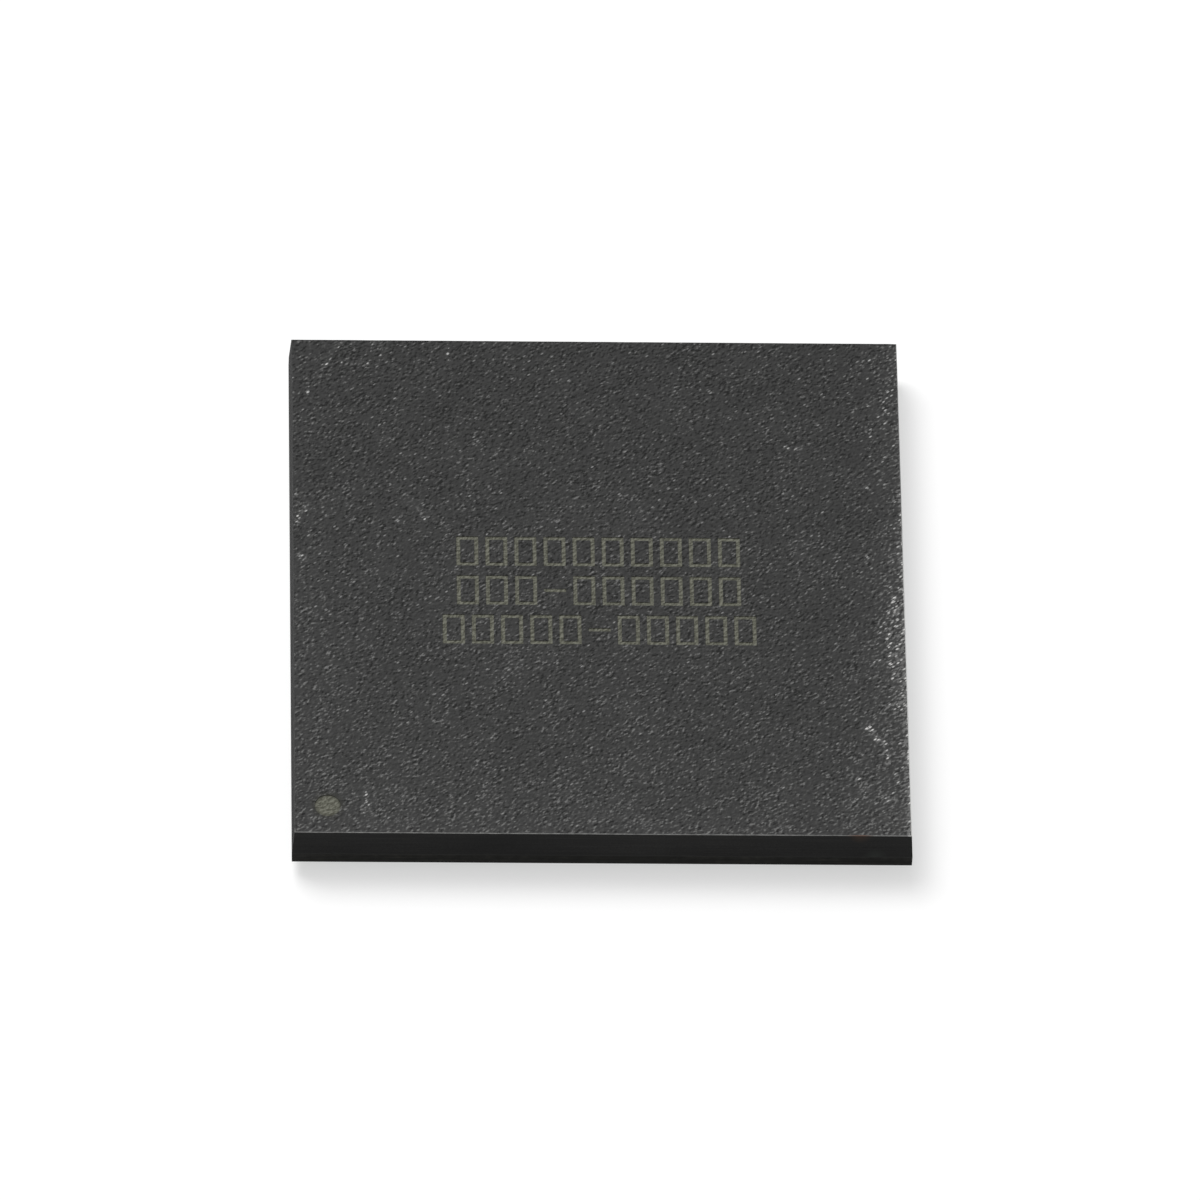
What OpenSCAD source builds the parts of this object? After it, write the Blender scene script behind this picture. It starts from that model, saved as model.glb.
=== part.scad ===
// Moulded ball grid array package, 15 mm square, with an 18 by 18 grid of solder balls.
// Units are millimetres. The origin is at the middle of the grid, on the plane of the ball tips,
// with +Z up through the cap. The dot that names ball A1 is in the -X, -Y corner.

/* [Ball grid] */
// Distance between neighbouring ball centres
ball_pitch = 0.8; // [0.78:0.01:0.9]
// Balls along each side, an even number
balls_per_side = 18; // [16, 18]
// Diameter of a solder ball
ball_d = 0.48; // [0.46:0.01:0.54]
// Height of the body above the tips of the balls
standoff = 0.37; // [0.34:0.01:0.4]
// How far the mask laps over the rim of each copper pad
pad_lap = 0.05; // [0.02:0.01:0.08]

/* [Body] */
// From the centre of an outer ball to the side of the body
edge_margin = 0.7; // [0.6:0.05:1.2]
// Thickness of the moulded cap above the substrate
cap_t = 0.8; // [0.7:0.05:1.2]
// How far each side of the cap leans in between its foot and its top
side_lean = 0.05; // [0.02:0.01:0.12]

/* [Substrate] */
// Thickness of the laminate core
core_t = 0.28; // [0.2:0.01:0.5]
// Thickness of each copper layer
copper_t = 0.018; // [0.012:0.001:0.022]
// Thickness of each solder mask
mask_t = 0.035; // [0.028:0.001:0.045]
// Diameter of a plated via
via_d = 0.12; // [0.08:0.01:0.16]
// Diameter of the copper land round a via
via_land_d = 0.26; // [0.22:0.01:0.28]
// Width of a copper trace
trace_w = 0.05; // [0.03:0.005:0.06]
// Gap between traces that run side by side
trace_gap = 0.05; // [0.03:0.005:0.06]
// Mask left between the bond finger window and the vias on each side of it
window_clearance = 0.05; // [0.03:0.01:0.07]

/* [Die] */
// Side of the square silicon die
die_w = 6.2; // [5:0.1:6.6]
// Thickness of the die
die_t = 0.28; // [0.15:0.01:0.35]
// Thickness of the adhesive under the die
attach_t = 0.03; // [0.015:0.005:0.05]
// How far the adhesive squeezes out past each side of the die
attach_fillet = 0.06; // [0.02:0.01:0.1]
// From the side of the die to its row of bond pads
bond_inset = 0.08; // [0.05:0.01:0.15]

/* [Bond wires] */
// Thickness of a bond wire
wire_d = 0.025; // [0.018:0.001:0.032]
// Height of a wire's loop above the die
loop_h = 0.16; // [0.1:0.01:0.2]
// Length of wire that lies flat on a bond finger
stitch_l = 0.1; // [0.05:0.01:0.14]
// Width of a bond finger
finger_w = 0.11; // [0.08:0.01:0.14]
// Bare length of a bond finger inside its window
finger_l = 0.32; // [0.24:0.01:0.34]

/* [Laser marks] */
// Diameter of the dot that marks the A1 corner
dot_d = 0.63; // [0.4:0.01:0.8]
// From the middle of the dot to the two sides of the cap's top
dot_inset = 0.8; // [0.6:0.05:1.2]
// Depth of all laser marks
mark_depth = 0.02; // [0.015:0.001:0.03]
// Width of one blank character box
box_w = 0.54; // [0.4:0.01:0.6]
// Height of one blank character box
box_h = 0.88; // [0.7:0.01:1]
// Width of a laser stroke
stroke_w = 0.1; // [0.06:0.01:0.14]
// Distance between neighbouring boxes
box_pitch = 0.71; // [0.68:0.01:0.8]
// Distance between the rows of boxes
row_pitch = 1.18; // [1.1:0.01:1.4]
// Middle of the rows, along Y from the middle of the cap
rows_y = -0.16; // [-1:0.01:1]

/* [Hidden] */
$fn = 48;

// Ball rows are lettered from the A1 corner along +X, without the letters that read as digits.
ROW_LETTERS = ["a", "b", "c", "d", "e", "f", "g", "h", "j", "k", "l", "m", "n", "p", "r", "t", "u", "v"];
SIDES = ["right", "back", "left", "front"];

// Plan of the package. Vias stand half a pitch outside their balls, in rings round the middle.
body_w = (balls_per_side - 1) * ball_pitch + 2 * edge_margin;
top_w = body_w - 2 * side_lean;
via_rings = balls_per_side / 2;
signal_rings = 4;
paddle_rings = via_rings - signal_rings;
finger_pitch = ball_pitch / signal_rings;
fingers_per_side = 2 * paddle_rings * signal_rings;
window_mid = (paddle_rings + 0.5) * ball_pitch;
window_w = ball_pitch - via_land_d - 2 * window_clearance;
window_l = fingers_per_side * finger_pitch;
paddle_w = 2 * paddle_rings * ball_pitch + via_land_d;
pour_w = (signal_rings - 1) * ball_pitch + via_land_d;

// Levels, from the ball tips up.
ball_r = ball_d / 2;
mask_bottom_z = standoff;
core_bottom_z = mask_bottom_z + mask_t;
pad_bottom_z = core_bottom_z - copper_t;
core_top_z = core_bottom_z + core_t;
copper_top_z = core_top_z + copper_t;
mask_top_z = core_top_z + mask_t;
die_bottom_z = mask_top_z + attach_t;
die_top_z = die_bottom_z + die_t;
cap_top_z = mask_top_z + cap_t;

// Each mask opening is as wide as its ball is where the ball meets the mask.
pad_opening_d = 2 * sqrt(pow(ball_r, 2) - pow(standoff - ball_r, 2));
pad_d = pad_opening_d + 2 * pad_lap;

// Plan position of ball i along X or Y, and of the via that belongs to it.
function ball_at(i) = (i - (balls_per_side - 1) / 2) * ball_pitch;
function via_at(i) = ball_at(i) + sign(ball_at(i)) * ball_pitch / 2;

// Outline of a strip of width w along the points of path, with mitred bends.
function left_of(a, b) = [a[1] - b[1], b[0] - a[0]] / norm(b - a);
function mitre(p, i) =
    let (n1 = left_of(p[max(i - 1, 0)], p[max(i, 1)]))
    let (n2 = left_of(p[min(i, len(p) - 2)], p[min(i + 1, len(p) - 1)]))
    (n1 + n2) / (1 + n1 * n2);
function strip(path, w) = concat(
    [for (i = [0 : len(path) - 1]) path[i] + mitre(path, i) * w / 2],
    [for (i = [len(path) - 1 : -1 : 0]) path[i] - mitre(path, i) * w / 2]
);

// Places its children at every ball position, or at every via position.
module at_balls() {
    for (i = [0 : balls_per_side - 1], j = [0 : balls_per_side - 1])
        translate([ball_at(i), ball_at(j)]) children();
}
module at_vias() {
    for (i = [0 : balls_per_side - 1], j = [0 : balls_per_side - 1])
        translate([via_at(i), via_at(j)]) children();
}
module square_plate(w, z, t) {
    translate([-w / 2, -w / 2, z]) cube([w, w, t]);
}

// --- Solder balls -------------------------------------------------------------------------

module solder_ball() {
    translate([0, 0, mask_bottom_z]) cylinder(d = pad_opening_d, h = pad_bottom_z - mask_bottom_z);
    intersection() {
        translate([0, 0, ball_r]) sphere(d = ball_d);
        translate([-ball_d, -ball_d, 0]) cube([2 * ball_d, 2 * ball_d, mask_bottom_z]);
    }
}

module ball_row(i) {
    color([0.78, 0.79, 0.8])
        for (j = [0 : balls_per_side - 1]) translate([ball_at(i), ball_at(j), 0]) solder_ball();
}

// --- Substrate ----------------------------------------------------------------------------

// A ball pad with a short trace out to the land of its via.
module pad_outline(x, y) {
    via = [sign(x), sign(y)] * ball_pitch / 2;
    circle(d = pad_d);
    translate(via) circle(d = via_land_d);
    polygon(strip([[0, 0], via], trace_w));
}

module ball_pads() {
    color([0.72, 0.45, 0.2])
        for (i = [0 : balls_per_side - 1], j = [0 : balls_per_side - 1])
            translate([ball_at(i), ball_at(j), pad_bottom_z])
                linear_extrude(copper_t) pad_outline(ball_at(i), ball_at(j));
}

module plated_vias() {
    color([0.72, 0.45, 0.2])
        at_vias() translate([0, 0, core_bottom_z]) cylinder(d = via_d, h = core_t);
}

module substrate_core() {
    color([0.2, 0.2, 0.14])
        difference() {
            square_plate(body_w, core_bottom_z, core_t);
            plated_vias();
        }
}

module bottom_solder_mask() {
    color([0.06, 0.2, 0.12])
        difference() {
            square_plate(body_w, mask_bottom_z, mask_t);
            at_balls() translate([0, 0, mask_bottom_z]) cylinder(d = pad_opening_d, h = mask_t);
            ball_pads();
        }
}

// Four slots through the mask that bare the bond fingers.
module finger_windows() {
    for (a = [0 : 90 : 270]) rotate(a)
        translate([window_mid - window_w / 2, -window_l / 2, core_top_z]) cube([window_w, window_l, mask_t]);
}

module top_solder_mask() {
    color([0.06, 0.2, 0.12])
        difference() {
            square_plate(body_w, core_top_z, mask_t);
            finger_windows();
            ground_paddle();
            power_pours();
            for (s = [0 : 3]) signal_traces(s);
        }
}

// Copper square under the die, over its own rings of vias.
module ground_paddle() {
    color([0.72, 0.45, 0.2]) square_plate(paddle_w, core_top_z, copper_t);
}

// Copper squares in the four corners, over the vias that feed power.
module power_pours() {
    reach = via_rings * ball_pitch + via_land_d / 2;
    color([0.72, 0.45, 0.2])
        for (a = [0 : 90 : 270]) rotate(a)
            translate([reach - pour_w, reach - pour_w, core_top_z]) cube([pour_w, pour_w, copper_t]);
}

// One net on the +Y half of the +X side: a bond finger, a trace, and the land of the via in ring k
// outside the window. The nearest via takes its trace straight from the finger. The traces to the
// others run side by side down the middle of the gap between two columns of vias.
module net_outline(column, k) {
    via = [(paddle_rings + 1 + k) * ball_pitch, column * ball_pitch];
    gap_mid = via[1] - ball_pitch / 2;
    finger_y = gap_mid + ((signal_rings - 1) / 2 - k) * finger_pitch;
    lane_y = k == 0 ? finger_y : gap_mid + (signal_rings / 2 - k) * (trace_w + trace_gap);
    turn_x = window_mid + window_w / 2;
    to_lane = k == 0 ? [] : [[turn_x, finger_y], [turn_x + finger_pitch, lane_y]];
    path = concat([[window_mid, finger_y]], to_lane, [[via[0] - via[1] + lane_y, lane_y], via]);
    translate([window_mid - finger_l / 2, finger_y - finger_w / 2]) square([finger_l, finger_w]);
    polygon(strip(path, trace_w));
    translate(via) circle(d = via_land_d);
}

module signal_traces(side) {
    color([0.85, 0.68, 0.3])
        rotate(90 * side) for (half = [0, 1], column = [1 : paddle_rings], k = [0 : signal_rings - 1])
            mirror([0, half, 0]) translate([0, 0, core_top_z])
                linear_extrude(copper_t) net_outline(column, k);
}

// --- Die and wires ------------------------------------------------------------------------

module die_attach() {
    color([0.8, 0.8, 0.75]) square_plate(die_w + 2 * attach_fillet, mask_top_z, attach_t);
}

module die() {
    color([0.35, 0.36, 0.4]) square_plate(die_w, die_bottom_z, die_t);
}

// One wire, in the upright plane through its bond pad and its finger: up from the die, over, down
// to the finger and flat along it.
module bond_wire(from, to) {
    run = norm(to - from);
    drop = copper_top_z - die_top_z;
    heel = run - stitch_l;
    path = [
        [0, 0],
        [0, loop_h - wire_d],
        [run / 8, loop_h - wire_d / 2],
        [heel, drop + wire_d / 2],
        [run, drop + wire_d / 2]
    ];
    translate([from[0], from[1], die_top_z])
        rotate(atan2(to[1] - from[1], to[0] - from[0])) rotate([90, 0, 0])
            linear_extrude(wire_d, center = true) polygon(strip(path, wire_d));
}

module bond_wires(side) {
    bond_pitch = (die_w - 4 * bond_inset) / (fingers_per_side - 1);
    color([0.95, 0.75, 0.3])
        rotate(90 * side) for (i = [0 : fingers_per_side - 1])
            let (step = i - (fingers_per_side - 1) / 2)
                bond_wire(
                    [die_w / 2 - bond_inset, step * bond_pitch],
                    [window_mid + stitch_l / 2, step * finger_pitch]
                );
}

// --- Cap ----------------------------------------------------------------------------------

// A straight bar with the cap's leaning sides, along Y.
module leaning_bar() {
    profile = [[-body_w / 2, 0], [body_w / 2, 0], [top_w / 2, cap_t], [-top_w / 2, cap_t]];
    rotate([90, 0, 0]) linear_extrude(body_w, center = true) polygon(profile);
}

module cap_block() {
    translate([0, 0, mask_top_z]) intersection() {
        leaning_bar();
        rotate(90) leaning_bar();
    }
}

// A blank character box, and the dash that stands between two groups of them.
module blank_box() {
    difference() {
        square([box_w, box_h], center = true);
        square([box_w - 2 * stroke_w, box_h - 2 * stroke_w], center = true);
    }
}
module dash() {
    square([box_w, stroke_w], center = true);
}

// Rows of boxes, each written as the number of boxes before its dash and after it.
ROWS = [[10, 0], [3, 6], [5, 5]];

module mark_row(before, after) {
    n = before + after + (after > 0 ? 1 : 0);
    for (i = [0 : n - 1]) translate([(i - (n - 1) / 2) * box_pitch, 0])
        if (i == before) dash(); else blank_box();
}

// The marks as they are cut from the cap: as far above its top as they go below it.
module laser_marks() {
    translate([0, 0, cap_top_z - mark_depth]) {
        translate([dot_inset - top_w / 2, dot_inset - top_w / 2]) cylinder(d = dot_d, h = 2 * mark_depth);
        linear_extrude(2 * mark_depth) for (r = [0 : len(ROWS) - 1])
            translate([0, rows_y + (1 - r) * row_pitch]) mark_row(ROWS[r][0], ROWS[r][1]);
    }
}

module mold_cap() {
    color([0.25, 0.25, 0.25])
        difference() {
            union() {
                cap_block();
                finger_windows();
            }
            die();
            die_attach();
            for (s = [0 : 3]) bond_wires(s);
            for (s = [0 : 3]) signal_traces(s);
            laser_marks();
        }
}

mold_cap();
die();
die_attach();
top_solder_mask();
substrate_core();
bottom_solder_mask();
ground_paddle();
power_pours();
plated_vias();
ball_pads();
for (s = [0 : 3]) bond_wires(s);
for (s = [0 : 3]) signal_traces(s);
for (i = [0 : balls_per_side - 1]) ball_row(i);
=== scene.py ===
import math

import bmesh
import bpy
from mathutils import Matrix, Vector, noise


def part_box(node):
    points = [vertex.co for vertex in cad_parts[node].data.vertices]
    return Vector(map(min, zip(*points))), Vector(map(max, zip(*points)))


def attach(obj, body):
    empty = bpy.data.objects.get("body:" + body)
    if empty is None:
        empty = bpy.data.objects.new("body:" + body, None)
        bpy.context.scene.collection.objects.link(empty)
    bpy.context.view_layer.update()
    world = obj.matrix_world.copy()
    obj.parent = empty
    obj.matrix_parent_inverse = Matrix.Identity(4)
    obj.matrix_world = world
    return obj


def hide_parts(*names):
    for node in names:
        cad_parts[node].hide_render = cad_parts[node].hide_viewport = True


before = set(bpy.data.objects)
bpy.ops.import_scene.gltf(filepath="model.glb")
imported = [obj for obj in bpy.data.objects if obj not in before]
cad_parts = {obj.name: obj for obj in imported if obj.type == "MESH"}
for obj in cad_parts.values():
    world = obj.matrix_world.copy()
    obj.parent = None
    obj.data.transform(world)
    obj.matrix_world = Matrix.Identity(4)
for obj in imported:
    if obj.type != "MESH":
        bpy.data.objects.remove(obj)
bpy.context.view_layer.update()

# ---- Laminate core ----------------------------------------------------------------------------
# The board inside the package: glass cloth pressed in a black-brown resin. It is sawn through
# together with the cap, so its edge shows the cloth as fine level lines.

MM = 0.001
LEVEL_LINES = (0.02, 0.02, 1.0)
PLIES_PER_M = 30000
YARNS_PER_M = 4500


def new_material(name, roughness, specular=0.5, metallic=0.0):
    """A material and its node tree, with the plain numbers set on its own shader."""
    material = bpy.data.materials.new(name)
    material.use_nodes = True
    shader = material.node_tree.nodes["Principled BSDF"]
    shader.inputs["Roughness"].default_value = roughness
    shader.inputs["Specular IOR Level"].default_value = specular
    shader.inputs["Metallic"].default_value = metallic
    return material, material.node_tree, shader


def node(tree, kind, inputs=(), **settings):
    """A new node. inputs pairs an input's name or number with a value, or with a socket to link."""
    made = tree.nodes.new(kind)
    for name, value in settings.items():
        setattr(made, name, value)
    for key, value in dict(inputs).items():
        if isinstance(value, bpy.types.NodeSocket):
            tree.links.new(value, made.inputs[key])
        else:
            made.inputs[key].default_value = value
    return made


def math_node(tree, operation, first, second=0.0, clamp=False):
    settings = {"operation": operation, "use_clamp": clamp}
    return node(tree, "ShaderNodeMath", {0: first, 1: second}, **settings).outputs[0]


def add(tree, first, *others):
    for other in others:
        first = math_node(tree, "ADD", first, other)
    return first


def times(tree, first, *others):
    for other in others:
        first = math_node(tree, "MULTIPLY", first, other)
    return first


def mixture(tree, *parts):
    """Adds up parts of (value, share)."""
    return add(tree, *[times(tree, value, share) for value, share in parts])


def object_coords(tree, scale=(1.0, 1.0, 1.0), turn=0.0):
    """Object coordinates in metres, turned about Z and then scaled along the turned axes."""
    coords = node(tree, "ShaderNodeTexCoord").outputs["Object"]
    turned = node(tree, "ShaderNodeMapping", {"Vector": coords, "Rotation": (0.0, 0.0, turn)})
    return node(tree, "ShaderNodeMapping", {"Vector": turned.outputs[0], "Scale": scale}).outputs[0]


def cloud(tree, coords, per_metre, detail=2.0, roughness=0.5):
    """Noise of about that many grains to the metre."""
    settings = {"Vector": coords, "Scale": per_metre, "Detail": detail, "Roughness": roughness}
    return node(tree, "ShaderNodeTexNoise", settings).outputs[0]


def ramp(tree, value, *stops):
    """A colour ramp with stops of (position, (r, g, b))."""
    made = node(tree, "ShaderNodeValToRGB", {0: value})
    elements = made.color_ramp.elements
    while len(elements) < len(stops):
        elements.new(0.5)
    for element, (position, colour) in zip(elements, stops):
        element.position = position
        element.color = (*colour, 1.0)
    return made.outputs[0]


def add_bump(tree, shader, height, depth, strength=1.0):
    settings = {"Height": height, "Distance": depth, "Strength": strength}
    bump = node(tree, "ShaderNodeBump", settings)
    tree.links.new(bump.outputs[0], shader.inputs["Normal"])


def dress(name, material):
    """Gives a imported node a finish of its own."""
    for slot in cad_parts[name].material_slots:
        slot.material = material


laminate, tree, shader = new_material("laminate_edge", roughness=0.75, specular=0.12)
plies = cloud(tree, object_coords(tree, LEVEL_LINES), PLIES_PER_M, detail=3)
yarn_ends = cloud(tree, object_coords(tree), YARNS_PER_M)
weave = mixture(tree, (plies, 0.6), (yarn_ends, 0.4))
resin = ramp(
    tree, weave,
    (0.35, (0.0050, 0.0050, 0.0045)),
    (0.52, (0.0093, 0.0093, 0.0084)),
    (0.7, (0.020, 0.0196, 0.0168)),
)
tree.links.new(resin, shader.inputs["Base Color"])
add_bump(tree, shader, weave, 4e-6, 0.6)
dress("substrate_core", laminate)

# ---- Copper of the laminate -------------------------------------------------------------------
# Rolled and plated copper: a pad and short trace for each ball, the filled vias, the square
# under the die and the four corner squares. All of it lies under the masks and the cap.

SIDES = ("right", "back", "left", "front")
TARNISH_PER_M = 6000
ROLLING_PER_M = 60000


def metal(name, dull, bright, roughness):
    """A plain metal whose colour drifts between two shades, with a fine rolled surface."""
    made, tree, shader = new_material(name, roughness=roughness, metallic=1.0)
    tarnish = cloud(tree, object_coords(tree), TARNISH_PER_M, detail=4)
    tree.links.new(ramp(tree, tarnish, (0.3, dull), (0.7, bright)), shader.inputs["Base Color"])
    add_bump(tree, shader, cloud(tree, object_coords(tree), ROLLING_PER_M), 5e-7)
    return made


copper = metal("plated_copper", (0.55, 0.24, 0.12), (0.78, 0.42, 0.26), 0.35)
for name in ("ball_pads", "plated_vias", "ground_paddle", "power_pours"):
    dress(name, copper)

gilding = metal("gold_plating", (0.75, 0.48, 0.17), (0.9, 0.66, 0.3), 0.3)
for side in SIDES:
    dress("signal_traces_" + side, gilding)

# ---- Solder masks -----------------------------------------------------------------------------
# A film of dark green epoxy, printed over the copper of both faces and cured. It is glossy,
# with a slight orange peel, the cloth below shows through it, and its sawn edge is dull.

SAWN_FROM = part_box("substrate_core")[1].x - 0.01 * MM
SAWN_MASK = (0.0045, 0.0048, 0.0042, 1.0)
CLOTH_BANDS = 620.0
MASK_PATCHES_PER_M = 900
ORANGE_PEEL_PER_M = 5200
GLOSSY = 0.32
DULL = 1.0


def xyz(tree):
    """The three object coordinates, in metres."""
    return node(tree, "ShaderNodeSeparateXYZ", {0: object_coords(tree)}).outputs


def unsigned(tree, value):
    """A value without its sign."""
    return math_node(tree, "ABSOLUTE", value)


def larger(tree, first, second):
    return math_node(tree, "MAXIMUM", first, second)


def span(tree, value, low, high, at_low=0.0, at_high=1.0):
    """Goes from at_low to at_high while the value goes from low to high, and no further."""
    limits = {"Value": value, "From Min": low, "From Max": high, "To Min": at_low, "To Max": at_high}
    return node(tree, "ShaderNodeMapRange", limits).outputs[0]


def mix_colours(tree, share, first, second):
    return node(tree, "ShaderNodeMix", {0: share, 6: first, 7: second}, data_type="RGBA").outputs[2]


def yarns(tree, coords, direction):
    bands = {"Vector": coords, "Scale": CLOTH_BANDS, "Distortion": 1.2}
    return node(tree, "ShaderNodeTexWave", bands, bands_direction=direction).outputs[1]


def mask_film(name, deep, pale):
    made, tree, shader = new_material(name, roughness=GLOSSY, specular=0.45)
    coords = object_coords(tree)
    cloth = times(tree, yarns(tree, coords, "X"), yarns(tree, coords, "Y"))
    patches = cloud(tree, coords, MASK_PATCHES_PER_M, detail=3)
    film = ramp(tree, mixture(tree, (cloth, 0.35), (patches, 0.65)), (0.25, deep), (0.6, pale))
    x, y, _ = xyz(tree)
    sawn = math_node(tree, "GREATER_THAN", larger(tree, unsigned(tree, x), unsigned(tree, y)), SAWN_FROM)
    tree.links.new(mix_colours(tree, sawn, film, SAWN_MASK), shader.inputs["Base Color"])
    tree.links.new(span(tree, sawn, 0.0, 1.0, GLOSSY, DULL), shader.inputs["Roughness"])
    add_bump(tree, shader, cloud(tree, coords, ORANGE_PEEL_PER_M), 1.2e-6)
    return made


bare_mask = mask_film("green_mask", (0.006, 0.028, 0.015), (0.010, 0.044, 0.023))
dress("top_solder_mask", bare_mask)
dress("bottom_solder_mask", bare_mask)

# ---- Mask over the ball pads ------------------------------------------------------------------
# Where the film runs over copper it stands a little proud and looks brighter: a rim round
# each ball, the trace that leaves it, and the land of its via half a pitch outwards.

ROWS = "abcdefghjklmnprtuv"
PAD_R = 0.262 * MM
OPENING_R = 0.2 * MM
LAND_R = 0.14 * MM
TRACE_W = 0.07 * MM
RISE = 0.009 * MM
LAND_RISE = 0.8 * RISE
TRACE_RISE = 0.6 * RISE
SINK = 0.004 * MM
SAME_SPOT = 1e-8
QUARTER_TURNS = {(True, True): 0, (False, True): 1, (False, False): 2, (True, False): 3}

row_boxes = [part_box("ball_row_" + letter) for letter in ROWS]
grid = [(low.x + high.x) / 2 for low, high in row_boxes]
half_pitch = (grid[1] - grid[0]) / 2
mask_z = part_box("bottom_solder_mask")[0].z


def new_piece(name, mesh_maker, *materials):
    """Makes a piece of the package from a bmesh, with its place in its mesh."""
    mesh = bpy.data.meshes.new(name)
    mesh_maker.to_mesh(mesh)
    mesh_maker.free()
    for material in materials:
        mesh.materials.append(material)
    made = bpy.data.objects.new(name, mesh)
    bpy.context.scene.collection.objects.link(made)
    return made


def add_disc(target, radius, rise, x, y, segments=12):
    """A low button on the underside, with a bevelled rim."""
    place = Matrix.Translation((x, y, mask_z + (SINK - rise) / 2))
    bmesh.ops.create_cone(
        target, cap_ends=True, segments=segments, radius1=radius - rise, radius2=radius,
        depth=rise + SINK, matrix=place,
    )


def add_ring(target, inner, outer, rise, segments=16):
    """A low ring round the origin, spun from its section."""
    section = [(inner, SINK), (inner, -rise), (outer - rise, -rise), (outer, SINK)]
    verts = [target.verts.new((r, 0.0, mask_z + z)) for r, z in section]
    edges = [target.edges.new((verts[i], verts[(i + 1) % 4])) for i in range(4)]
    bmesh.ops.spin(
        target, geom=verts + edges, cent=(0, 0, 0), axis=(0, 0, 1), angle=math.tau, steps=segments,
        use_merge=True,
    )


def add_trace(target, length, x, y):
    """A low bar at 45 degrees, from a pad to the land of its via."""
    place = Matrix.Translation((x, y, mask_z + (SINK - TRACE_RISE) / 2))
    turn = Matrix.Rotation(math.pi / 4, 4, "Z")
    size = Matrix.Diagonal((length, TRACE_W, TRACE_RISE + SINK, 1.0))
    bmesh.ops.create_cube(target, size=1.0, matrix=place @ turn @ size)


relief = bmesh.new()
add_ring(relief, OPENING_R, PAD_R, RISE)
add_disc(relief, LAND_R, LAND_RISE, half_pitch, half_pitch)
trace_length = math.hypot(half_pitch, half_pitch) - PAD_R
trace_middle = PAD_R / math.sqrt(2) + trace_length / math.sqrt(8)
add_trace(relief, trace_length, trace_middle, trace_middle)
bmesh.ops.remove_doubles(relief, verts=relief.verts, dist=SAME_SPOT)
bmesh.ops.recalc_face_normals(relief, faces=relief.faces)
one_pad = bpy.data.meshes.new("one_pad")
relief.to_mesh(one_pad)
relief.free()

relief = bmesh.new()
for x in grid:
    for y in grid:
        before = len(relief.verts)
        relief.from_mesh(one_pad)
        relief.verts.ensure_lookup_table()
        outwards = Matrix.Rotation(QUARTER_TURNS[x > 0, y > 0] * math.pi / 2, 4, "Z")
        place = Matrix.Translation((x, y, 0)) @ outwards
        bmesh.ops.transform(relief, matrix=place, verts=relief.verts[before:])
bpy.data.meshes.remove(one_pad)
raised_mask = mask_film("green_mask_over_copper", (0.016, 0.066, 0.026), (0.028, 0.100, 0.038))
mask_relief = new_piece("mask_over_copper", relief, raised_mask)
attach(mask_relief, "root")

# ---- Die, adhesive and wires ------------------------------------------------------------------
# A polished silicon die, glued down with silver-filled epoxy and joined to the fingers round it
# by drawn gold wire. The cap buries all of them.

CIRCUITS_PER_M = 2500
FLAKES_PER_M = 30000

silicon, tree, shader = new_material("polished_silicon", roughness=0.16, metallic=0.6)
circuits = cloud(tree, object_coords(tree), CIRCUITS_PER_M, detail=1)
polish = ramp(tree, circuits, (0.3, (0.10, 0.11, 0.14)), (0.7, (0.19, 0.19, 0.22)))
tree.links.new(polish, shader.inputs["Base Color"])
dress("die", silicon)

adhesive, tree, shader = new_material("silver_epoxy", roughness=0.6, metallic=0.3)
flakes = cloud(tree, object_coords(tree), FLAKES_PER_M, detail=4)
filled = ramp(tree, flakes, (0.35, (0.30, 0.30, 0.28)), (0.7, (0.62, 0.62, 0.6)))
tree.links.new(filled, shader.inputs["Base Color"])
dress("die_attach", adhesive)

drawn_gold = metal("drawn_gold", (0.85, 0.58, 0.2), (0.97, 0.74, 0.33), 0.22)
for side in SIDES:
    dress("bond_wires_" + side, drawn_gold)

# ---- Moulded cap ------------------------------------------------------------------------------
# Black epoxy full of fine silica, pressed over the die in a mould with a spark-eroded face,
# which leaves the grain on its top. Saws cut its four sides, and a laser marks its top.

SIDE_LEAN = 0.05 * MM
EDGE_R = 0.016 * MM
EDGE_CELLS = 90
CHIPS_PER_M = 2600
CHIP_SHARE = 0.15
CHIP_DEPTH = 0.004 * MM
KNOCK_DEPTH = 0.012 * MM
LEVEL = 0.97
UPRIGHT = 0.2
TOP, SAWN, MARK, EDGE = range(4)

half_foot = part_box("mold_cap")[1].x
half_top = half_foot - SIDE_LEAN
top_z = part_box("mold_cap")[1].z
foot_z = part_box("top_solder_mask")[1].z
cap_height = top_z - foot_z

block = bmesh.new()
size = Matrix.Diagonal((2 * half_foot, 2 * half_foot, cap_height, 1))
bmesh.ops.create_cube(block, size=1.0, matrix=Matrix.Translation((0, 0, (top_z + foot_z) / 2)) @ size)
upper = [v for v in block.verts if v.co.z > foot_z + cap_height / 2]
bmesh.ops.scale(block, vec=(half_top / half_foot, half_top / half_foot, 1.0), verts=upper)
level_edges = [e for e in block.edges if abs(e.verts[0].co.z - e.verts[1].co.z) < cap_height / 2]
bmesh.ops.subdivide_edges(block, edges=level_edges, cuts=EDGE_CELLS - 1, use_grid_fill=True)


def on_rim(edge):
    """Whether an edge runs along one of the four sides of the top."""
    if any(v.co.z < top_z - EDGE_R / 8 for v in edge.verts):
        return False
    return any(all(abs(abs(v.co[axis]) - half_top) < EDGE_R / 8 for v in edge.verts) for axis in (0, 1))


rim = [e for e in block.edges if on_rim(e)]
bmesh.ops.bevel(
    block, geom=rim, offset=EDGE_R, offset_type="OFFSET", affect="EDGES", segments=2, profile=0.5,
    material=-1,
)


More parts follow.
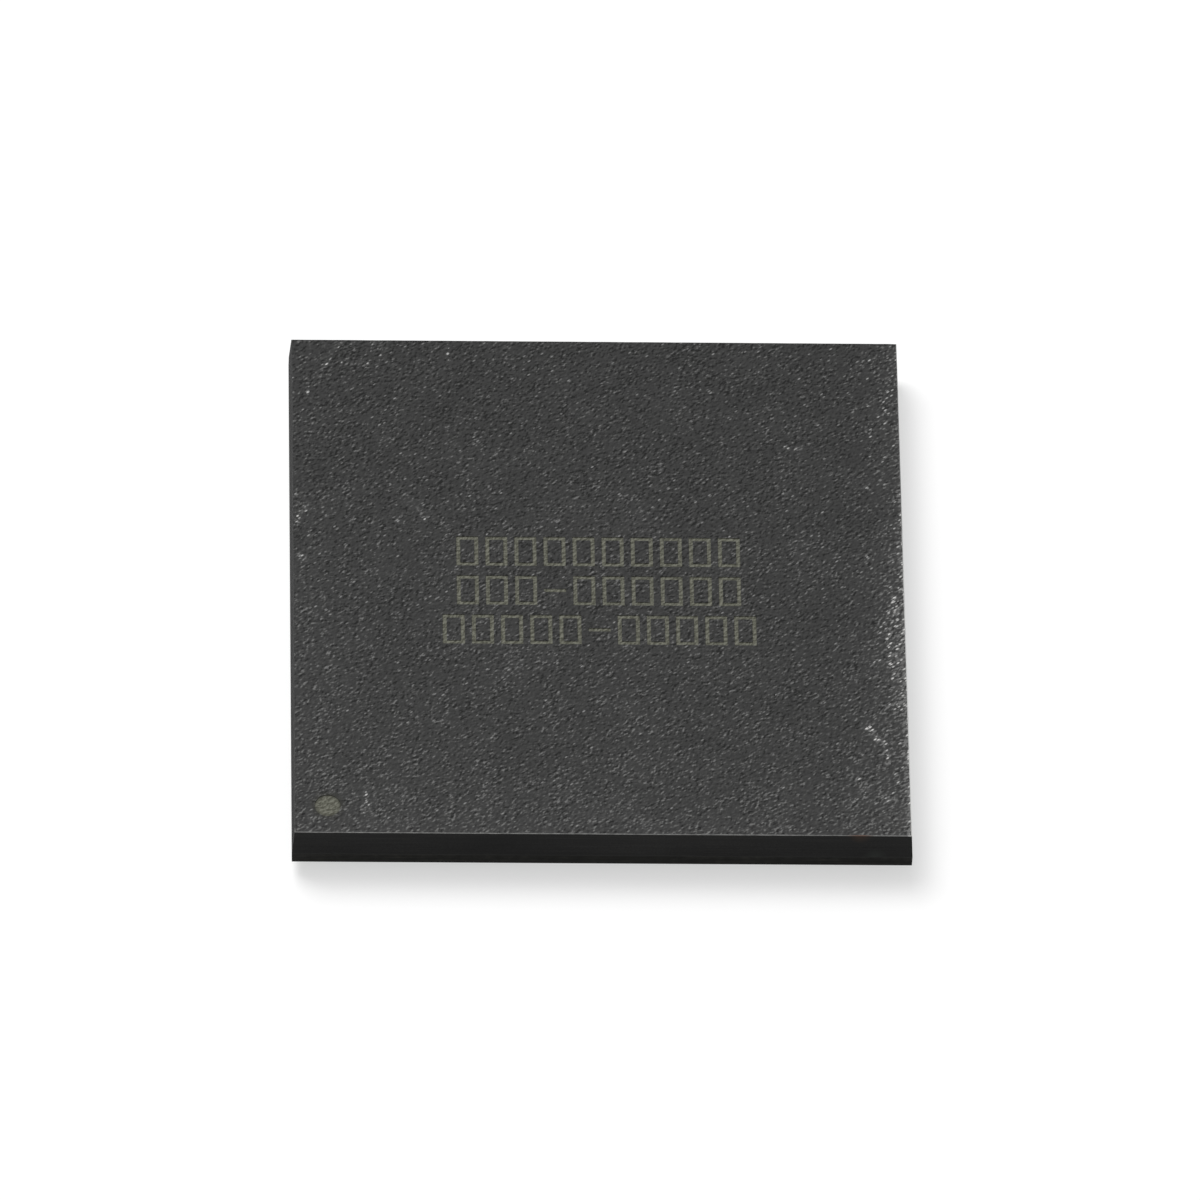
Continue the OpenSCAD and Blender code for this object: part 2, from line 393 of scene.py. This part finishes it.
def outward(spot):
    """The level way out from the middle at a point of the rim, slantwise at a corner."""
    if abs(abs(spot.x) - abs(spot.y)) < EDGE_R:
        return Vector((spot.x, spot.y, 0)).normalized()
    if abs(spot.x) > abs(spot.y):
        return Vector((math.copysign(1, spot.x), 0, 0))
    return Vector((0, math.copysign(1, spot.y), 0))


def finish_of(face):
    """The top lies level, its rounded rim leans, and the sawn sides stand all but upright."""
    if face.normal.z > LEVEL:
        return TOP
    return EDGE if face.normal.z > UPRIGHT else SAWN


# The rim is a little ragged, and its +X side has been knocked about.
for v in block.verts:
    reach = max(abs(v.co.x), abs(v.co.y))
    if v.co.z > top_z - 2 * EDGE_R and reach > half_top - 2 * EDGE_R:
        depth = KNOCK_DEPTH if v.co.x > half_top - 2 * EDGE_R else CHIP_DEPTH
        bite = max(0.0, noise.noise(v.co * CHIPS_PER_M) + CHIP_SHARE) * depth
        v.co -= outward(v.co) * bite
block.normal_update()
for face in block.faces:
    face.material_index = finish_of(face)

# The laser burns shallow marks: a dot at the first ball's corner and three rows of blank boxes,
# two of which are parted by a dash. MARK_ROWS counts the boxes before and after it.
MARK_DEPTH = 0.02 * MM
DOT_R = 0.315 * MM
DOT_INSET = 0.8 * MM
DOT_SEGMENTS = 48
BOX_W = 0.54 * MM
BOX_H = 0.88 * MM
STROKE_W = 0.1 * MM
BOX_PITCH = 0.71 * MM
ROW_PITCH = 1.18 * MM
ROWS_Y = -0.16 * MM
MARK_ROWS = ((10, 0), (3, 6), (5, 5))


def add_mark(target, width, tall, x, y, hollow):
    """The cutter of one laser mark: a bar, or a box with a bare middle."""
    place = Matrix.Translation((x, y, top_z - MARK_DEPTH)) @ Matrix.Diagonal((width, tall, 1, 1))
    verts = bmesh.ops.create_grid(target, x_segments=1, y_segments=1, size=0.5, matrix=place)["verts"]
    faces = [verts[0].link_faces[0]]
    if hollow:
        inner = faces[0]
        faces = bmesh.ops.inset_region(
            target, faces=[inner], thickness=STROKE_W, use_boundary=True, use_even_offset=True
        )["faces"]
        bmesh.ops.delete(target, geom=[inner], context="FACES_ONLY")
    raised = bmesh.ops.extrude_face_region(target, geom=faces)["geom"]
    upper = [g for g in raised if isinstance(g, bmesh.types.BMVert)]
    bmesh.ops.translate(target, vec=(0, 0, 2 * MARK_DEPTH), verts=upper)


cutter = bmesh.new()
dot_centre = (DOT_INSET - half_top, DOT_INSET - half_top, top_z)
bmesh.ops.create_cone(
    cutter, cap_ends=True, segments=DOT_SEGMENTS, radius1=DOT_R, radius2=DOT_R, depth=2 * MARK_DEPTH,
    matrix=Matrix.Translation(dot_centre),
)
for row, (before, after) in enumerate(MARK_ROWS):
    count = before + after + (1 if after else 0)
    y = ROWS_Y + (1 - row) * ROW_PITCH
    for number in range(count):
        x = (number - (count - 1) / 2) * BOX_PITCH
        boxed = number != before
        add_mark(cutter, BOX_W, BOX_H if boxed else STROKE_W, x, y, hollow=boxed)
bmesh.ops.recalc_face_normals(cutter, faces=cutter.faces)
for face in cutter.faces:
    face.material_index = MARK

# The grain of the top: short ridges that lean one way, with painted shade on their flanks, and filler
# grains painted bright as glints. Rubbing lays more of them bare, so every scratch and scuff is a
# place where they lie closer.
GRAIN_LEAN = math.radians(-38)
RIDGE_SHAPE = (0.79, 1.09, 1.0)
RIDGES_PER_M = 12000
FLANK_STEP = (0.0, 37e-6, 0.0)
SPLINTER_SHAPE = (0.6, 1.4, 1.0)
SPLINTERS_PER_M = 12500
CALM_PER_M = 5600
TOP_PATCHES_PER_M = 700
MEAN_SHADE = 0.505
EAST_BAND = (6.4 * MM, 7.5 * MM)
SCUFF_BLOOM = 0.12
SINGED = (0.024, 0.024, 0.018, 1.0)
SCUFFS = (
    # (start x, start y, end x, end y, width) in millimetres, and how thick the bared grains lie
    ((-6.28, 7.36, -6.72, 6.55, 0.14), 0.75),
    ((-6.72, 6.55, -6.85, 6.20, 0.22), 0.5),
    ((-7.02, 5.95, -7.08, 5.80, 0.14), 0.6),
    ((-6.20, 6.76, -5.62, 6.70, 0.14), 0.7),
    ((-5.45, 7.35, -5.50, 7.10, 0.11), 0.6),
    ((-3.60, 7.35, -3.58, 6.60, 0.10), 0.45),
    ((-5.20, 7.35, -5.22, 6.90, 0.10), 0.45),
    ((-4.65, 2.75, -4.20, 1.95, 0.08), 0.5),
    ((-7.10, 2.40, -7.38, 1.95, 0.16), 0.8),
    ((-7.30, 0.86, -7.20, 0.74, 0.16), 0.9),
    ((4.65, 4.20, 5.10, 4.20, 0.11), 0.8),
    ((7.22, -0.30, 7.26, -3.50, 0.40), 0.8),
    ((7.05, -1.20, 7.12, -2.90, 0.22), 0.8),
    ((6.46, -4.24, 6.80, -4.70, 0.16), 1.2),
    ((6.90, -4.95, 7.00, -5.35, 0.16), 0.8),
    ((6.15, -5.65, 6.32, -6.20, 0.19), 0.6),
    ((6.68, -6.36, 7.20, -6.36, 0.18), 0.6),
    ((7.15, -5.75, 7.28, -6.05, 0.16), 0.7),
    ((-5.72, -6.10, -5.72, -6.85, 0.14), 0.5),
)


def scuff_group():
    """Shader group: 1 on a straight scuff from Start to End, falling to 0 at Width from it."""
    group = bpy.data.node_groups.new("scuff", "ShaderNodeTree")
    for name, kind in (("Place", "Vector"), ("Start", "Vector"), ("End", "Vector"), ("Width", "Float")):
        group.interface.new_socket(name=name, in_out="INPUT", socket_type="NodeSocket" + kind)
    group.interface.new_socket(name="Rub", in_out="OUTPUT", socket_type="NodeSocketFloat")
    given = group.nodes.new("NodeGroupInput").outputs

    def vector_node(operation, first, second, out):
        made = node(group, "ShaderNodeVectorMath", {0: first, 1: second}, operation=operation)
        return made.outputs[out]

    across = vector_node("SUBTRACT", given["Place"], given["Start"], 0)
    along = vector_node("SUBTRACT", given["End"], given["Start"], 0)
    covered = vector_node("DOT_PRODUCT", across, along, "Value")
    whole = vector_node("DOT_PRODUCT", along, along, "Value")
    share = math_node(group, "DIVIDE", covered, whole, clamp=True)
    nearest = node(group, "ShaderNodeVectorMath", {0: along, "Scale": share}, operation="SCALE")
    apart = vector_node("DISTANCE", across, nearest.outputs[0], "Value")
    fall = span(group, apart, 0.0, given["Width"], 1.0, 0.0)
    group.links.new(fall, group.nodes.new("NodeGroupOutput").inputs["Rub"])
    return group


def grain_and_painted_relief(tree):
    """The ridges of the mould's spark-eroded face, and the ridges with painted shade: one flank paler, one
    darker.
    """
    lean = object_coords(tree, RIDGE_SHAPE, GRAIN_LEAN)
    beside = node(tree, "ShaderNodeVectorMath", {0: lean, 1: FLANK_STEP}).outputs[0]
    ridges = cloud(tree, lean, RIDGES_PER_M, detail=1.4, roughness=0.6)
    next_ridges = cloud(tree, beside, RIDGES_PER_M, detail=1.4, roughness=0.6)
    # Painted shade: the step to the neighbouring ridge makes one flank paler and the other darker.
    painted_slope_shade = math_node(tree, "SUBTRACT", ridges, next_ridges)
    return ridges, add(tree, mixture(tree, (ridges, 0.65), (painted_slope_shade, 0.5)), 0.175)


def near_point(tree, centre, near, far):
    """1 within near of a point, falling to 0 at far."""
    ends = {0: object_coords(tree), 1: centre}
    apart = node(tree, "ShaderNodeVectorMath", ends, operation="DISTANCE").outputs["Value"]
    return span(tree, apart, near, far, 1.0, 0.0)


def off_half(tree, value):
    """How far a value lies above or below a half."""
    return math_node(tree, "SUBTRACT", value, 0.5)


moulded, tree, shader = new_material("moulded_epoxy", roughness=0.72, specular=0.1)
here = object_coords(tree)
east, north, _ = xyz(tree)

# How thick the bared grains lie, and how much paler their ground is. The +X side is worn most.
verge = span(tree, east, 7.28 * MM, 7.45 * MM)
verge = times(tree, verge, span(tree, north, 4 * MM, -1 * MM, 0.35, 1.0))
east_rub = span(tree, east, *EAST_BAND, 0.15, 0.29)
west_rub = span(tree, east, -6.8 * MM, -7.5 * MM, 0.0, 0.2)
rub = larger(tree, larger(tree, east_rub, west_rub), verge)
bloom = add(tree, span(tree, east, *EAST_BAND, 0.0, 0.06), times(tree, verge, 0.12))
scuff = scuff_group()
for (x0, y0, x1, y1, width), density in SCUFFS:
    start = (x0 * MM, y0 * MM, top_z)
    end = (x1 * MM, y1 * MM, top_z)
    line = {"Place": here, "Start": start, "End": end, "Width": width * MM}
    rubbed_here = node(tree, "ShaderNodeGroup", line, node_tree=scuff).outputs[0]
    rub = larger(tree, rub, times(tree, rubbed_here, density))
    bloom = larger(tree, bloom, times(tree, rubbed_here, SCUFF_BLOOM * density))

# The bared grains, painted bright as glints: of all the splinters, those whose own lot is under the rubbing.
splinters = object_coords(tree, SPLINTER_SHAPE, GRAIN_LEAN)
cells = node(tree, "ShaderNodeTexVoronoi", {"Vector": splinters, "Scale": SPLINTERS_PER_M}).outputs
lot = node(tree, "ShaderNodeSeparateColor", {0: cells["Color"]}).outputs[0]
bare = math_node(tree, "SUBTRACT", rub, lot)
spot = span(tree, cells["Distance"], 0.15, 0.45, 1.0, 0.0)
painted_glint_mask = times(tree, math_node(tree, "MULTIPLY", bare, 30.0, clamp=True), spot)

# The ground between them: the ridges with their painted flank shade, calmer and livelier spots, painted
# light that makes the top paler towards the front, and a lightening towards the edges in the front half.
ridges, painted_flank_shade = grain_and_painted_relief(tree)
calm = span(tree, cloud(tree, here, CALM_PER_M), 0.35, 0.65, 0.38, 1.17)
patches = off_half(tree, cloud(tree, here, TOP_PATCHES_PER_M, detail=3))
outwards = larger(tree, unsigned(tree, east), times(tree, north, -1.0))
paler_to_edges = span(tree, outwards, 5.2 * MM, 7.4 * MM, 0.0, 0.032)
ahead = span(tree, north, 4 * MM, -2 * MM, 0.2, 1.0)
# Painted light: the top is painted paler towards the front; it is also paler towards its edges in the front
# half.
painted_front_light_and_edges = add(tree, span(tree, north, 7.5 * MM, -7.5 * MM, -0.040, 0.014), times(tree, paler_to_edges, ahead))
grain = times(tree, off_half(tree, painted_flank_shade), calm)
shade = add(tree, grain, times(tree, patches, 0.13), bloom, MEAN_SHADE, painted_front_light_and_edges)
body = ramp(
    tree, shade,
    (0.34, (0.0095, 0.0096, 0.0094)),
    (0.44, (0.0272, 0.0273, 0.0270)),
    (0.55, (0.0368, 0.0370, 0.0365)),
    (0.62, (0.052, 0.052, 0.051)),
    (0.73, (0.128, 0.128, 0.126)),
)
# Painted glints: each bared grain gets a bright colour that stands in for the light it catches.
painted_glint_colour = ramp(
    tree, bare,
    (0.0, (0.056, 0.056, 0.055)),
    (0.08, (0.090, 0.090, 0.089)),
    (0.13, (0.155, 0.155, 0.153)),
    (0.18, (0.33, 0.33, 0.325)),
    (0.6, (0.56, 0.555, 0.54)),
)
singed = times(tree, near_point(tree, dot_centre, DOT_R, 1.45 * DOT_R), 0.45)
body = mix_colours(tree, singed, body, SINGED)
tree.links.new(mix_colours(tree, painted_glint_mask, body, painted_glint_colour), shader.inputs["Base Color"])
add_bump(tree, shader, add(tree, ridges, times(tree, painted_glint_mask, 0.25)), 12e-6, 0.7)

# The sawn sides: level saw lines, with a rust spot and a smear of mask near the front right corner,
# and painted light that makes them paler towards the top.
SAW_LINES = (0.012, 0.012, 1.0)
SAW_LINES_PER_M = 42000
FILLER_PER_M = 26000
DRIFT_PER_M = 260
RUST = (0.036, 0.027, 0.022, 1.0)
RUST_AT = (6.2 * MM, -half_top, top_z)
SMEAR = (0.026, 0.0285, 0.0265, 1.0)
SMEAR_AT = (6.6 * MM, -half_foot, foot_z)

sawn, tree, shader = new_material("sawn_epoxy", roughness=0.7, specular=0.04)
saw_lines = cloud(tree, object_coords(tree, SAW_LINES), SAW_LINES_PER_M, detail=3)
filler = cloud(tree, object_coords(tree), FILLER_PER_M)
drift = cloud(tree, object_coords(tree), DRIFT_PER_M)
shade = mixture(tree, (saw_lines, 0.35), (filler, 0.3), (drift, 0.35))
# Painted light: the sides are painted paler towards the top of the cap.
painted_light_upwards = span(tree, xyz(tree)[2], foot_z, top_z, 0.0, 0.05)
face_colour = ramp(
    tree, add(tree, shade, painted_light_upwards),
    (0.35, (0.0128, 0.0128, 0.0128)),
    (0.52, (0.0182, 0.0182, 0.0180)),
    (0.68, (0.0272, 0.0270, 0.0264)),
)
face_colour = mix_colours(tree, near_point(tree, RUST_AT, 0.05 * MM, 0.3 * MM), face_colour, RUST)
face_colour = mix_colours(tree, near_point(tree, SMEAR_AT, 0.0, 0.32 * MM), face_colour, SMEAR)
tree.links.new(face_colour, shader.inputs["Base Color"])
add_bump(tree, shader, shade, 4e-6, 0.6)

# The laser-marked floor: the same ridges with their painted flank shade, bleached, and darker in a ring
# inside the dot.
DOT_RING = (0.040, 0.040, 0.032, 1.0)

marked, tree, shader = new_material("laser_marked_epoxy", roughness=0.85, specular=0.1)
ridges, painted_flank_shade = grain_and_painted_relief(tree)
bleached_and_shaded = ramp(
    tree, painted_flank_shade,
    (0.36, (0.060, 0.060, 0.047)),
    (0.5, (0.098, 0.099, 0.079)),
    (0.66, (0.150, 0.151, 0.124)),
)
in_dot = near_point(tree, dot_centre, 1.05 * DOT_R, 1.1 * DOT_R)
in_middle = near_point(tree, dot_centre, 0.7 * DOT_R, DOT_R)
ring = times(tree, math_node(tree, "SUBTRACT", in_dot, in_middle, clamp=True), 0.6)
tree.links.new(mix_colours(tree, ring, bleached_and_shaded, DOT_RING), shader.inputs["Base Color"])
add_bump(tree, shader, ridges, 9e-6, 0.7)

# The rubbed rim: bare filler along the +X side, a painted highlight along the front, and the rust spot
# again.
RIM_WEAR_PER_M = 5200
RIM_RUST = (0.12, 0.075, 0.06, 1.0)

rubbed_and_highlit, tree, shader = new_material("rubbed_rim_with_painted_highlight", roughness=0.6, specular=0.15)
rim_wear = cloud(tree, object_coords(tree), RIM_WEAR_PER_M, detail=4, roughness=0.6)
east, north, _ = xyz(tree)
knocked = times(tree, span(tree, east, 7.3 * MM, 7.4 * MM), span(tree, north, 3 * MM, -1 * MM, 0.4, 1.0))
# Painted highlight: the front rim is painted paler, standing in for the light its rounded edge catches.
front = span(tree, north, -7.3 * MM, -7.4 * MM, 0.0, 0.4)
wear_and_painted_highlight = add(tree, larger(tree, front, knocked), times(tree, off_half(tree, rim_wear), 0.5))
worn_and_highlit = ramp(tree, wear_and_painted_highlight, (0.0, (0.030, 0.030, 0.030)), (0.3, (0.10, 0.10, 0.098)), (0.9, (0.50, 0.50, 0.49)))
worn_and_highlit = mix_colours(tree, near_point(tree, RUST_AT, 0.1 * MM, 0.35 * MM), worn_and_highlit, RIM_RUST)
tree.links.new(worn_and_highlit, shader.inputs["Base Color"])
add_bump(tree, shader, rim_wear, 4e-6, 0.5)

finishes = (moulded, sawn, marked, rubbed_and_highlit)
cap = new_piece("moulded_cap", block, *finishes)
cutting_tool = new_piece("mark_cutter", cutter, *finishes)
cut = cap.modifiers.new("laser", "BOOLEAN")
cut.operation = "DIFFERENCE"
cut.solver = "EXACT"
cut.object = cutting_tool
engraved = bpy.data.meshes.new_from_object(cap.evaluated_get(bpy.context.evaluated_depsgraph_get()))
cap.modifiers.clear()
cap.data = engraved
bpy.data.objects.remove(cutting_tool)
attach(cap, "root")
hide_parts("mold_cap")

# ---- Solder balls -----------------------------------------------------------------------------
# Tin-silver-copper spheres, dropped on the fluxed pads and melted on. Each settles into its
# mask opening, so it is a ball with a small flat where it meets the body.

BALL_R = 0.24 * MM
BALL_SEGMENTS = 14
BALL_STEPS = 5
DENDRITES_PER_M = 22000

solder, tree, shader = new_material("reflowed_solder", roughness=0.36, metallic=1.0)
dendrites = cloud(tree, object_coords(tree), DENDRITES_PER_M, detail=3)
frosting = ramp(
    tree, dendrites,
    (0.32, (0.40, 0.40, 0.41)),
    (0.52, (0.51, 0.515, 0.52)),
    (0.72, (0.62, 0.62, 0.62)),
)
tree.links.new(frosting, shader.inputs["Base Color"])
add_bump(tree, shader, dendrites, 1.2e-6, 0.5)

ball = bmesh.new()
neck = math.acos((mask_z - BALL_R) / BALL_R)
arc = [neck + (math.pi - neck) * step / BALL_STEPS for step in range(BALL_STEPS + 1)]
verts = [ball.verts.new((0.0, 0.0, mask_z))]
verts += [ball.verts.new((BALL_R * math.sin(a), 0.0, BALL_R + BALL_R * math.cos(a))) for a in arc]
edges = [ball.edges.new(pair) for pair in zip(verts, verts[1:])]
bmesh.ops.spin(
    ball, geom=verts + edges, cent=(0, 0, 0), axis=(0, 0, 1), angle=math.tau, steps=BALL_SEGMENTS,
    use_merge=True,
)
bmesh.ops.remove_doubles(ball, verts=ball.verts, dist=SAME_SPOT)
bmesh.ops.recalc_face_normals(ball, faces=ball.faces)
for face in ball.faces:
    face.smooth = face.normal.z < LEVEL
one_ball = bpy.data.meshes.new("one_ball")
ball.to_mesh(one_ball)
ball.free()

for letter, x in zip(ROWS, grid):
    row = bmesh.new()
    for y in grid:
        before = len(row.verts)
        row.from_mesh(one_ball)
        row.verts.ensure_lookup_table()
        bmesh.ops.translate(row, vec=(x, y, 0), verts=row.verts[before:])
    balls = new_piece("solder_balls_" + letter, row, solder)
    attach(balls, "root")
    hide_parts("ball_row_" + letter)
bpy.data.meshes.remove(one_ball)

# ---- Floor and light --------------------------------------------------------------------------
# A plain white table under a pale sky, with one broad soft lamp above and behind on the left.
# The table is seen from above only, and lets light through under the package, so that the
# underside, which is 0.37 mm above it, isn't black from below.

FLOOR_HALF = 0.6
TABLE_WHITE = (0.93, 0.93, 0.93, 1.0)
WHITE = (1.0, 1.0, 1.0, 1.0)
TABLE_GLOW = 0.55
KEPT_REFLECTION = 0.55
CLEAR_INSET = 0.3 * MM
SKY_LIGHT = 0.42
LAMP_SIZE = 0.16
LAMP_POWER = 0.75
LAMP_AT = (-0.08, 0.10, 0.24)

paper, tree, shader = new_material("white_table", roughness=0.9, specular=0.1)
shader.inputs["Base Color"].default_value = TABLE_WHITE
# To the camera the table is partly a plain white, which keeps its shadow soft and pale.
glow = node(tree, "ShaderNodeEmission", {"Color": WHITE, "Strength": 1.0})
rays = node(tree, "ShaderNodeLightPath").outputs
glow_share = times(tree, rays["Is Camera Ray"], TABLE_GLOW)
table = node(tree, "ShaderNodeMixShader", {0: glow_share, 1: shader.outputs[0], 2: glow.outputs[0]})
# What lights the underside passes through the table, but the balls still mirror some of it.
clear = node(tree, "ShaderNodeBsdfTransparent")
from_below = node(tree, "ShaderNodeNewGeometry").outputs["Backfacing"]
x, y, _ = xyz(tree)
reach = larger(tree, unsigned(tree, x), unsigned(tree, y))
under = math_node(tree, "LESS_THAN", reach, half_foot - CLEAR_INSET)
lit_up = math_node(tree, "SUBTRACT", under, rays["Is Camera Ray"])
reflected = times(tree, rays["Is Glossy Ray"], KEPT_REFLECTION)
lit_up = math_node(tree, "SUBTRACT", lit_up, reflected, clamp=True)
openness = larger(tree, from_below, lit_up)
surface = node(tree, "ShaderNodeMixShader", {0: openness, 1: table.outputs[0], 2: clear.outputs[0]})
tree.links.new(surface.outputs[0], tree.nodes["Material Output"].inputs["Surface"])
sheet = bmesh.new()
bmesh.ops.create_grid(sheet, x_segments=1, y_segments=1, size=FLOOR_HALF)
floor = new_piece("floor", sheet, paper)

world = bpy.data.worlds.new("pale_sky")
bpy.context.scene.world = world
world.use_nodes = True
tree = world.node_tree
rays = node(tree, "ShaderNodeLightPath").outputs
seen = add(tree, rays["Is Camera Ray"], rays["Is Glossy Ray"])
seen = math_node(tree, "ADD", seen, rays["Is Transmission Ray"], clamp=True)
strength = span(tree, seen, 0.0, 1.0, SKY_LIGHT, 1.0)
tree.links.new(strength, tree.nodes["Background"].inputs["Strength"])
tree.nodes["Background"].inputs["Color"].default_value = WHITE

lamp_data = bpy.data.lights.new("soft_lamp", "AREA")
lamp_data.shape = "SQUARE"
lamp_data.size = LAMP_SIZE
lamp_data.energy = LAMP_POWER
lamp = bpy.data.objects.new("soft_lamp", lamp_data)
bpy.context.scene.collection.objects.link(lamp)
lamp.location = LAMP_AT
lamp.rotation_mode = "QUATERNION"
lamp.rotation_quaternion = lamp.location.to_track_quat("Z", "Y")

# ---- Camera -----------------------------------------------------------------------------------
# A long lens in front of the package and well above it, turned a little about its own axis and
# moved a hair sideways and down from the middle of the top.

AZIMUTH = math.radians(-3.427)
ELEVATION = math.radians(53.64)
ROLL = math.radians(3.15)
DISTANCE = 439.72 * MM
SIDEWAYS = 0.0304 * MM
UPWARDS = -0.3565 * MM
LENS_MM = 541.4
SENSOR_MM = 36.0

level_back = math.cos(ELEVATION)
back = Vector((math.sin(AZIMUTH) * level_back, -math.cos(AZIMUTH) * level_back, math.sin(ELEVATION)))
level_right = (-back).cross(Vector((0, 0, 1))).normalized()
level_up = back.cross(level_right)
right = math.cos(ROLL) * level_right + math.sin(ROLL) * level_up
up = math.cos(ROLL) * level_up - math.sin(ROLL) * level_right
camera_data = bpy.data.cameras.new("camera")
camera_data.lens = LENS_MM
camera_data.sensor_width = SENSOR_MM
camera_data.clip_start = 0.01
camera_data.clip_end = 10.0
camera = bpy.data.objects.new("camera", camera_data)
bpy.context.scene.collection.objects.link(camera)
bpy.context.scene.camera = camera
camera.location = Vector((0, 0, top_z)) + back * DISTANCE + right * SIDEWAYS + up * UPWARDS
camera.rotation_mode = "QUATERNION"
camera.rotation_quaternion = Matrix((right, up, back)).transposed().to_quaternion()

bpy.context.scene.view_settings.view_transform = "Standard"
